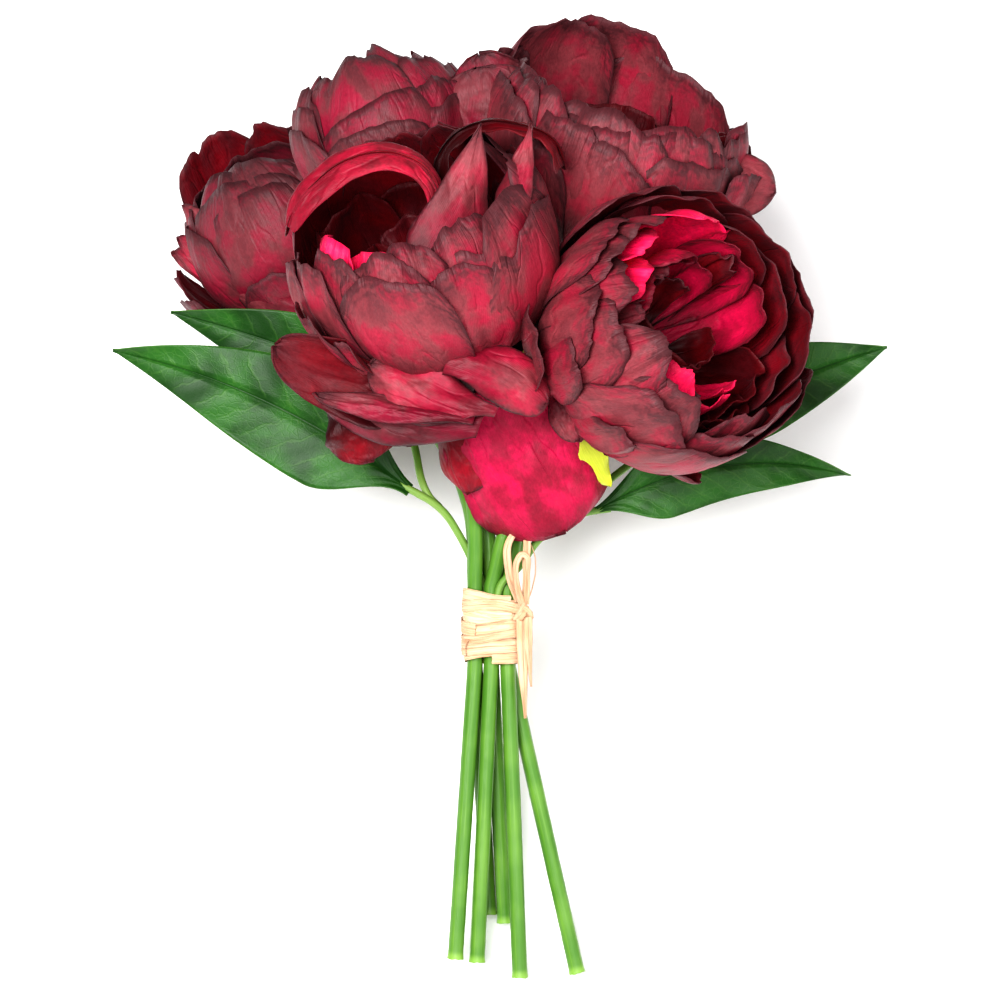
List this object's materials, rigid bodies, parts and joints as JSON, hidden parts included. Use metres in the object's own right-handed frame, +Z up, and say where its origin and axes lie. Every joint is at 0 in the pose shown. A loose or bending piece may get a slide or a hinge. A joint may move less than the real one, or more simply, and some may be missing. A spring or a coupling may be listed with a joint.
{
  "type": "bunch of artificial peonies",
  "caption": "Hand-tied bunch of burgundy fabric peonies with green leaves, cut stems and a raffia tie, lying on its side as it rests on a table.",
  "frame": {"origin": "centre of the bounding box at the surface that the bunch lies on", "axes": "+Z up from that surface, +Y along the stems from their cut ends towards the flowers, +X to the right seen from above with the flowers at the top"},
  "size_m": [0.252, 0.2954, 0.1731],
  "materials": {
    "outer_petal": "woven satin, dusty burgundy with darker crimped edges",
    "heart_petal": "woven satin, crimson to magenta",
    "bright_petal": "woven satin, bright crimson",
    "leaf": "coated fabric with moulded veins, deep green",
    "stem": "moulded soft plastic, satin, fresh green",
    "calyx": "moulded soft plastic, yellow-green",
    "raffia": "dry fibrous strip, pale straw"
  },
  "bodies": {
    "root": {"leaf_left_lower": "leaf", "leaf_left_lower_stalk": "stem", "leaf_left_upper": "leaf", "leaf_left_upper_stalk": "stem", "leaf_right_lower": "leaf", "leaf_right_lower_stalk": "stem", "leaf_right_upper": "leaf", "leaf_right_upper_stalk": "stem", "peony_back_calyx": "calyx", "peony_back_heart": "heart_petal", "peony_back_petal_1": "outer_petal", "peony_back_petal_2": "outer_petal", "peony_back_petal_3": "outer_petal", "peony_back_petal_4": "outer_petal", "peony_back_stem": "stem", "peony_front_calyx": "calyx", "peony_front_drooping_bright": "bright_petal", "peony_front_drooping_folded": "outer_petal", "peony_front_drooping_low_left": "outer_petal", "peony_front_heart": "heart_petal", "peony_front_petal_1": "outer_petal", "peony_front_petal_2": "outer_petal", "peony_front_petal_3": "outer_petal", "peony_front_petal_4": "outer_petal", "peony_front_right_calyx": "calyx", "peony_front_right_heart": "heart_petal", "peony_front_right_petal_1": "outer_petal", "peony_front_right_petal_2": "outer_petal", "peony_front_right_petal_3": "outer_petal", "peony_front_right_petal_4": "outer_petal", "peony_front_right_petal_5": "outer_petal", "peony_front_right_stem": "stem", "peony_front_stem": "stem", "peony_left_calyx": "calyx", "peony_left_heart": "heart_petal", "peony_left_petal_1": "outer_petal", "peony_left_petal_2": "outer_petal", "peony_left_petal_3": "outer_petal", "peony_left_petal_4": "outer_petal", "peony_left_stem": "stem", "peony_upper_left_calyx": "calyx", "peony_upper_left_heart": "heart_petal", "peony_upper_left_petal_1": "outer_petal", "peony_upper_left_petal_2": "outer_petal", "peony_upper_left_petal_3": "outer_petal", "peony_upper_left_petal_4": "outer_petal", "peony_upper_left_stem": "stem", "peony_upper_right_calyx": "calyx", "peony_upper_right_heart": "heart_petal", "peony_upper_right_petal_1": "outer_petal", "peony_upper_right_petal_2": "outer_petal", "peony_upper_right_petal_3": "outer_petal", "peony_upper_right_petal_4": "outer_petal", "peony_upper_right_petal_5": "outer_petal", "peony_upper_right_stem": "stem", "raffia_band": "raffia", "raffia_knot": "raffia", "raffia_loop": "raffia", "raffia_tail": "raffia"}
  },
  "joints": []
}
